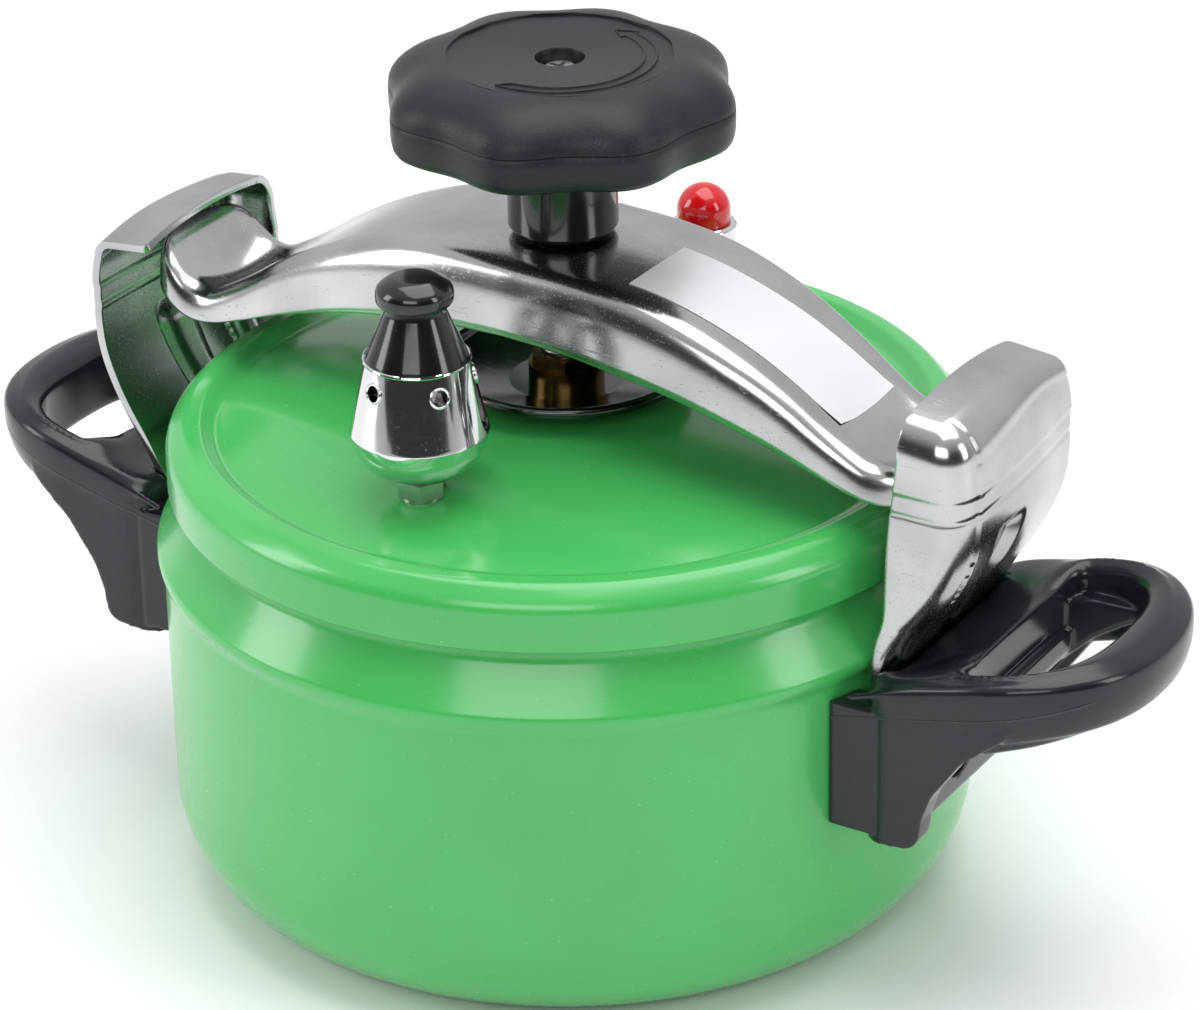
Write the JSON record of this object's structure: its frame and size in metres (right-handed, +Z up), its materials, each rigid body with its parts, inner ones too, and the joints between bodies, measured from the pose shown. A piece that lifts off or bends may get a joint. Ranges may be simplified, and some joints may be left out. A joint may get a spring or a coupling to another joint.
{
  "type": "pressure canner",
  "caption": "Clamp-beam pressure canner: round pot with two loop handles and hooked ears, domed lid, arched beam with screw knob, pressure weight and float valve.",
  "frame": {"origin": "centre of the pot's flat base, on the surface it stands on", "axes": "+Z up through the pot, lid and knob; +X along the two handles and ears, towards the ear whose closed wall faces -Y"},
  "size_m": [0.326, 0.2026, 0.2115],
  "materials": {
    "green_enamel": "gloss",
    "polished_steel": "polished",
    "plain_steel": "satin",
    "chrome": "mirror",
    "brass": "satin",
    "foil": "satin",
    "black_bakelite": "satin",
    "gloss_black": "gloss",
    "red_plastic": "gloss",
    "gasket_rubber": "matte",
    "seal_rubber": "matte"
  },
  "bodies": {
    "pot": {"pot_body": "green_enamel", "left_ear": "polished_steel", "right_ear": "polished_steel", "left_handle": "black_bakelite", "right_handle": "black_bakelite", "left_studs": "plain_steel", "right_studs": "plain_steel", "left_screws": "plain_steel", "right_screws": "plain_steel"},
    "lid_assembly": {"lid": "green_enamel", "gasket": "gasket_rubber", "press_plate": "polished_steel", "spindle_bush": "brass", "bush_cap": "brass", "vent_pipe": "plain_steel", "vent_nut": "plain_steel", "vent_filter": "plain_steel", "float_bush": "chrome", "float_nut": "plain_steel"},
    "clamp_beam": {"beam": "polished_steel", "beam_nut": "brass", "foil_label": "foil"},
    "knob_and_spindle": {"spindle": "plain_steel", "knob": "black_bakelite", "knob_washer": "plain_steel", "knob_screw": "plain_steel"},
    "pressure_weight": {"weight_body": "chrome", "weight_cone": "gloss_black", "weight_cap": "gloss_black", "weight_needle": "plain_steel"},
    "float_valve": {"float_cap": "red_plastic", "float_stem": "plain_steel", "float_seal": "seal_rubber"}
  },
  "joints": [
    {"name": "lid_turn", "type": "hinge", "parent": "pot", "child": "lid_assembly", "pos_m": [0, 0, 0.112], "axis": [0, 0, 1], "range_deg": [0, 90]},
    {"name": "knob_turn", "type": "hinge", "parent": "lid_assembly", "child": "knob_and_spindle", "pos_m": [0, 0, 0.17], "axis": [0, 0, 1], "range_deg": [-90, 540]},
    {"name": "beam_lift", "type": "slide", "parent": "lid_assembly", "child": "clamp_beam", "axis": [0, 0, 1], "range_m": [-0.003, 0.0005]},
    {"name": "weight_lift", "type": "slide", "parent": "lid_assembly", "child": "pressure_weight", "axis": [0, 0, 1], "range_m": [0, 0.03]},
    {"name": "float_rise", "type": "slide", "parent": "lid_assembly", "child": "float_valve", "axis": [0, 0, 1], "range_m": [0, 0.004]}
  ],
  "couplings": [
    {"joint": "beam_lift", "follows": "knob_turn", "m_per_rad": -0.00031831}
  ]
}
